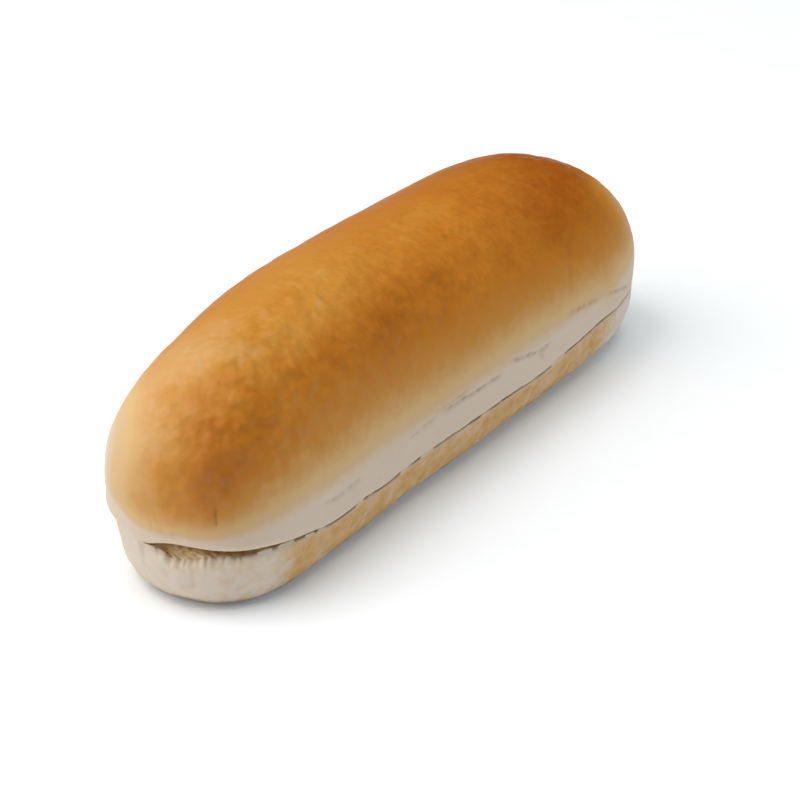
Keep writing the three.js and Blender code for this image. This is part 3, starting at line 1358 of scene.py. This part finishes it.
@dataclass(frozen=True)
class BakedCrust:
    """Soft wheat crust, baked in dry heat: pale where it stayed shaded, satin brown on the dome.

    The thin, smooth skin over springy crumb gives a broad, soft shine on top, and the pale sides
    are dry and dull. The heel is cream at the tips and tan where the tray's heat reached it.
    """

    pale: str = "#dcc8b2"
    sand: str = "#d9b68a"
    straw: str = "#dab278"
    ochre: str = "#d39d5c"
    amber: str = "#cb8a34"
    brown: str = "#c27720"
    russet: str = "#b46a1a"
    deep: str = "#a65810"
    heel_cream: str = "#dccdbc"
    heel_tan: str = "#d4ab76"
    heel_gold: str = "#c68f41"
    heel_brown: str = "#8c684c"
    crumb_white: str = "#e0ccb0"
    # The tone that the painted shade in the grooves and along the bottom edge darkens the skin by.
    painted_shade: str = "#a2866c"
    crown_grains: tuple[Grain, ...] = (Grain(17, 0.35, 2), Grain(4.5, 0.28, 2), Grain(1.8, 0.25, 2))
    heel_grains: tuple[Grain, ...] = (Grain(7, 0.5, 2), Grain(2.4, 0.75, 2))
    freckle_spacing: float = 9.0
    freckle_share: float = 0.16
    freckle_depth: float = 0.1
    seed_step: float = 3.3
    least_texture: float = 0.15
    crown_stops: tuple[float, ...] = (0.0, 0.14, 0.28, 0.42, 0.56, 0.73, 0.85, 1.0)
    heel_stops: tuple[float, ...] = (0.05, 0.45, 0.75, 1.0)
    dull: float = 0.75
    satin: float = 0.46
    ior: float = 1.45
    # Real pores are about 0.3 mm wide, too fine to show here, so they are drawn coarser.
    pore: float = 1.4
    pore_detail: float = 0.3
    pore_depth: float = 0.23

    def uneven(
        self,
        tree: bpy.types.NodeTree,
        where: bpy.types.NodeSocket,
        start: bpy.types.NodeSocket,
        share: bpy.types.NodeSocket,
        grains: tuple[Grain, ...],
    ) -> bpy.types.NodeSocket:
        """Shifts a browning up and down by noise of several sizes.

        Args:
            tree: The material's tree.
            where: The point on the piece.
            start: The even browning.
            share: How much of the noise shows, from 0 to 1.
            grains: The scales of noise.

        Returns:
            The uneven browning.
        """
        total = start
        for i, grain in enumerate(grains):
            noise = add(
                tree,
                "ShaderNodeTexNoise",
                {"Vector": where, "W": self.seed_step * i, "Scale": 1 / (grain.size * MM),
                 "Detail": grain.detail},
                noise_dimensions="4D",
            )
            shift = add(
                tree,
                "ShaderNodeMapRange",
                {"Value": noise.outputs[0], "To Min": -grain.strength / 2, "To Max": grain.strength / 2},
            )
            total = add(
                tree, "ShaderNodeMath", {0: shift.outputs[0], 1: share, 2: total}, operation="MULTIPLY_ADD"
            ).outputs[0]
        return total

    def freckled(
        self, tree: bpy.types.NodeTree, where: bpy.types.NodeSocket, bake: bpy.types.NodeSocket
    ) -> bpy.types.NodeSocket:
        """Deepens the browning in small scattered freckles.

        Args:
            tree: The material's tree.
            where: The point on the piece.
            bake: The even browning.

        Returns:
            The browning with freckles.
        """
        cells = add(
            tree, "ShaderNodeTexVoronoi", {"Vector": where, "Scale": 1 / (self.freckle_spacing * MM)}
        )
        freckle = add(
            tree,
            "ShaderNodeMapRange",
            {"Value": cells.outputs["Distance"], "From Min": self.freckle_share, "From Max": 0.0,
             "To Max": self.freckle_depth},
        ).outputs[0]
        return add(
            tree, "ShaderNodeMath", {0: freckle, 1: bake, 2: bake}, operation="MULTIPLY_ADD"
        ).outputs[0]

    def colour(
        self,
        tree: bpy.types.NodeTree,
        where: bpy.types.NodeSocket,
        field: dict[Field, bpy.types.NodeSocket],
        bake: bpy.types.NodeSocket,
        texture: bpy.types.NodeSocket,
    ) -> bpy.types.NodeSocket:
        """Colours the crown and the heel by their browning, then the torn crumb, then paints shade into the
        grooves and along the bottom edge.

        Args:
            tree: The material's tree.
            where: The point on the piece.
            field: What the point carries.
            bake: The crown's browning.
            texture: How uneven the crown is.

        Returns:
            The skin's colour.
        """
        light = (self.pale, self.sand, self.straw, self.ochre)
        dark = (self.amber, self.brown, self.russet, self.deep)
        crown = add(
            tree,
            "ShaderNodeValToRGB",
            {"Fac": self.uneven(tree, where, bake, texture, self.crown_grains)},
            dict(zip(self.crown_stops, light + dark)),
        )
        heel_tones = (self.heel_cream, self.heel_tan, self.heel_gold, self.heel_brown)
        heel = add(
            tree,
            "ShaderNodeValToRGB",
            {"Fac": self.uneven(tree, where, field[Field.TOAST], field[Field.HEEL], self.heel_grains)},
            dict(zip(self.heel_stops, heel_tones)),
        )
        skin = add(
            tree,
            "ShaderNodeMix",
            {0: field[Field.HEEL], 6: crown.outputs[0], 7: heel.outputs[0]},
            data_type="RGBA",
        ).outputs[2]
        frayed = add(
            tree,
            "ShaderNodeMix",
            {0: field[Field.TORN], 6: skin, 7: linear(self.crumb_white)},
            data_type="RGBA",
        ).outputs[2]
        # Painted shade: the colour darkens in the grooves and along the bottom edge.
        return add(
            tree,
            "ShaderNodeMix",
            {0: field[Field.SHADE], 6: frayed, 7: linear(self.painted_shade)},
            data_type="RGBA",
            blend_type="MULTIPLY",
        ).outputs[2]

    def build(self) -> bpy.types.Material:
        """Makes the material.

        Returns:
            The crust, coloured by the fields of the skin it lies on.
        """
        material, tree = new_material("baked_wheat_crust")
        where = add(tree, "ShaderNodeTexCoord").outputs["Object"]
        field = {f: add(tree, "ShaderNodeAttribute", attribute_name=f.value).outputs["Fac"] for f in Field}
        bake = self.freckled(tree, where, field[Field.BAKE])
        texture = add(
            tree, "ShaderNodeMapRange", {"Value": field[Field.COARSE], "To Min": self.least_texture}
        ).outputs[0]
        colour = self.colour(tree, where, field, bake, texture)

        shine = add(
            tree,
            "ShaderNodeMapRange",
            {"Value": field[Field.BAKE], "To Min": self.dull, "To Max": self.satin},
        ).outputs[0]
        pores = add(
            tree,
            "ShaderNodeTexNoise",
            {"Vector": where, "Scale": 1 / (self.pore * MM), "Detail": self.pore_detail},
        ).outputs[0]
        rough = add(tree, "ShaderNodeMath", {0: pores, 1: texture}, operation="MULTIPLY").outputs[0]
        relief = add(tree, "ShaderNodeBump", {"Height": rough, "Distance": self.pore_depth * MM}).outputs[0]
        shader = add(
            tree,
            "ShaderNodeBsdfPrincipled",
            {"Base Color": colour, "Roughness": shine, "Normal": relief, "IOR": self.ior},
        )
        add(tree, "ShaderNodeOutputMaterial", {"Surface": shader.outputs[0]})
        return material


@dataclass(frozen=True)
class OpenCrumb:
    """The loaf's inside where a blade and a pull opened it: matt, cream and full of small holes.

    Light passes a little way into its thin walls, which warms the shade inside the slice.
    """

    wall: str = "#ead0a8"
    # The holes' darker tone is painted shade in the pores.
    painted_hole_shade: str = "#c79c6e"
    cell: float = 1.3
    cell_depth: float = 0.3
    hole_to: float = 0.15
    wall_from: float = 0.6
    matt: float = 0.9
    ior: float = 1.3
    glow: float = 0.15
    glow_depth: float = 1.0

    def build(self) -> bpy.types.Material:
        """Makes the material.

        Returns:
            The crumb, with shade painted into its holes.
        """
        material, tree = new_material("open_wheat_crumb")
        where = add(tree, "ShaderNodeTexCoord").outputs["Object"]
        cells = add(tree, "ShaderNodeTexVoronoi", {"Vector": where, "Scale": 1 / (self.cell * MM)})
        away = cells.outputs["Distance"]
        # Painted shade: the crumb is darker in its holes.
        tones = {self.hole_to: self.painted_hole_shade, self.wall_from: self.wall}
        colour = add(tree, "ShaderNodeValToRGB", {"Fac": away}, tones)
        relief = add(tree, "ShaderNodeBump", {"Height": away, "Distance": self.cell_depth * MM})
        shader = add(
            tree,
            "ShaderNodeBsdfPrincipled",
            {
                "Base Color": colour.outputs[0],
                "Roughness": self.matt,
                "Normal": relief.outputs[0],
                "IOR": self.ior,
                "Subsurface Weight": self.glow,
                "Subsurface Scale": self.glow_depth * MM,
            },
        )
        add(tree, "ShaderNodeOutputMaterial", {"Surface": shader.outputs[0]})
        return material


# --- Studio -------------------------------------------------------------------------------


@dataclass(frozen=True)
class Viewpoint:
    """Where the bun is seen from, in millimetres and degrees."""

    target: tuple[float, float, float] = (-19.02, -16.24, 20.0)
    azimuth: float = -58.91
    elevation: float = 28.0
    distance: float = 450.0
    lens: float = 104.57
    sensor: float = 36.0
    clip_start: float = 10.0

    def build(self) -> bpy.types.Object:
        """Makes the camera and looks through it.

        Returns:
            The camera.
        """
        a, e = math.radians(self.azimuth), math.radians(self.elevation)
        back = Vector((math.sin(a) * math.cos(e), -math.cos(a) * math.cos(e), math.sin(e)))
        data = bpy.data.cameras.new("camera")
        data.lens = self.lens
        data.sensor_width = self.sensor
        data.clip_start = self.clip_start * MM
        camera = bpy.data.objects.new("camera", data)
        camera.location = (Vector(self.target) + back * self.distance) * MM
        camera.rotation_euler = back.to_track_quat("Z", "Y").to_euler()
        bpy.context.scene.collection.objects.link(camera)
        bpy.context.scene.camera = camera
        return camera


@dataclass(frozen=True)
class Lamp:
    """A soft box: where it hangs, in metres, how wide and bright it is, and if it shows as shine."""

    name: str
    place: tuple[float, float, float]
    width: float
    watts: float
    shines: bool
    tone: str = "#ffffff"


@dataclass(frozen=True)
class Studio:
    """A lit white table with a faint painted glow, in a white room, with a large soft box on the bun's back
    left.
    """

    lamps: tuple[Lamp, ...] = (
        Lamp("key", (-0.59, 0.71, 0.99), 1.6, 16.2, True),
        Lamp("overhead", (0.0, 0.0, 1.50), 1.6, 14.5, False),
        Lamp("front_fill", (0.95, -1.0, 0.42), 1.0, 6.3, False, "#dff0ff"),
    )
    fill: float = 0.035
    table_tone: str = "#f7f6f4"
    table_matt: float = 0.9
    # Painted light: the table top glows faintly blue, though it is no lamp, to lift the bun's shadow.
    painted_table_glow: float = 0.15
    painted_glow_tone: str = "#cfeafb"
    table_half: float = 3.0

    def build(self) -> None:
        """Makes the table, the lamps and the room's even light."""
        self.build_table()
        for lamp in self.lamps:
            self.build_lamp(lamp)
        self.build_room()

    def build_table(self) -> None:
        """Makes the table top: sand-blasted opal acrylic, matt white, with a faint bluish glow painted into
        it that lifts the bun's shadow.
        """
        h = self.table_half
        mesh = bpy.data.meshes.new("table")
        mesh.from_pydata([(-h, -h, 0), (h, -h, 0), (h, h, 0), (-h, h, 0)], [], [(0, 1, 2, 3)])
        table = bpy.data.objects.new("table", mesh)
        bpy.context.scene.collection.objects.link(table)
        material, tree = new_material("opal_acrylic_table")
        shader = add(
            tree,
            "ShaderNodeBsdfPrincipled",
            {
                "Base Color": linear(self.table_tone),
                "Roughness": self.table_matt,
                # Painted light: the emission makes the table glow, though it is no lamp.
                "Emission Color": linear(self.painted_glow_tone),
                "Emission Strength": self.painted_table_glow,
            },
        )
        add(tree, "ShaderNodeOutputMaterial", {"Surface": shader.outputs[0]})
        mesh.materials.append(material)

    def build_lamp(self, lamp: Lamp) -> None:
        """Hangs one soft box, turned to the bun.

        Args:
            lamp: The soft box.
        """
        data = bpy.data.lights.new(lamp.name, "AREA")
        data.shape = "DISK"
        data.size = lamp.width
        data.energy = lamp.watts
        data.color = linear(lamp.tone)[:3]
        box = bpy.data.objects.new(lamp.name, data)
        box.location = lamp.place
        box.rotation_euler = Vector(lamp.place).to_track_quat("Z", "Y").to_euler()
        box.visible_glossy = lamp.shines
        bpy.context.scene.collection.objects.link(box)

    def build_room(self) -> None:
        """Fills the room with even light, and shows it as plain white behind the table."""
        world = bpy.data.worlds.new("room")
        bpy.context.scene.world = world
        world.use_nodes = True
        tree = world.node_tree
        tree.nodes.clear()
        seen = add(tree, "ShaderNodeLightPath").outputs["Is Camera Ray"]
        strength = add(tree, "ShaderNodeMapRange", {"Value": seen, "To Min": self.fill, "To Max": 1.0})
        light = add(tree, "ShaderNodeBackground", {"Strength": strength.outputs[0]})
        add(tree, "ShaderNodeOutputWorld", {"Surface": light.outputs[0]})


# --- Making it all ------------------------------------------------------------------------


def main() -> None:
    """Builds the bun and the studio round it, and reports each piece."""
    logging.basicConfig(level=logging.INFO, format="%(name)s: %(message)s")
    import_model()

    crust = BakedCrust().build()
    crumb = OpenCrumb().build()
    bun = Bun(Loaf(), Slice(), Oven(), GROOVES, Weave()).build(Relief(), crust, crumb)
    LOG.info("%s: %d faces", bun.name, len(bun.data.polygons))

    Viewpoint().build()
    Studio().build()
    bpy.context.scene.view_settings.view_transform = "Standard"
    LOG.info("studio and camera are set")


if __name__ == "__main__":
    main()
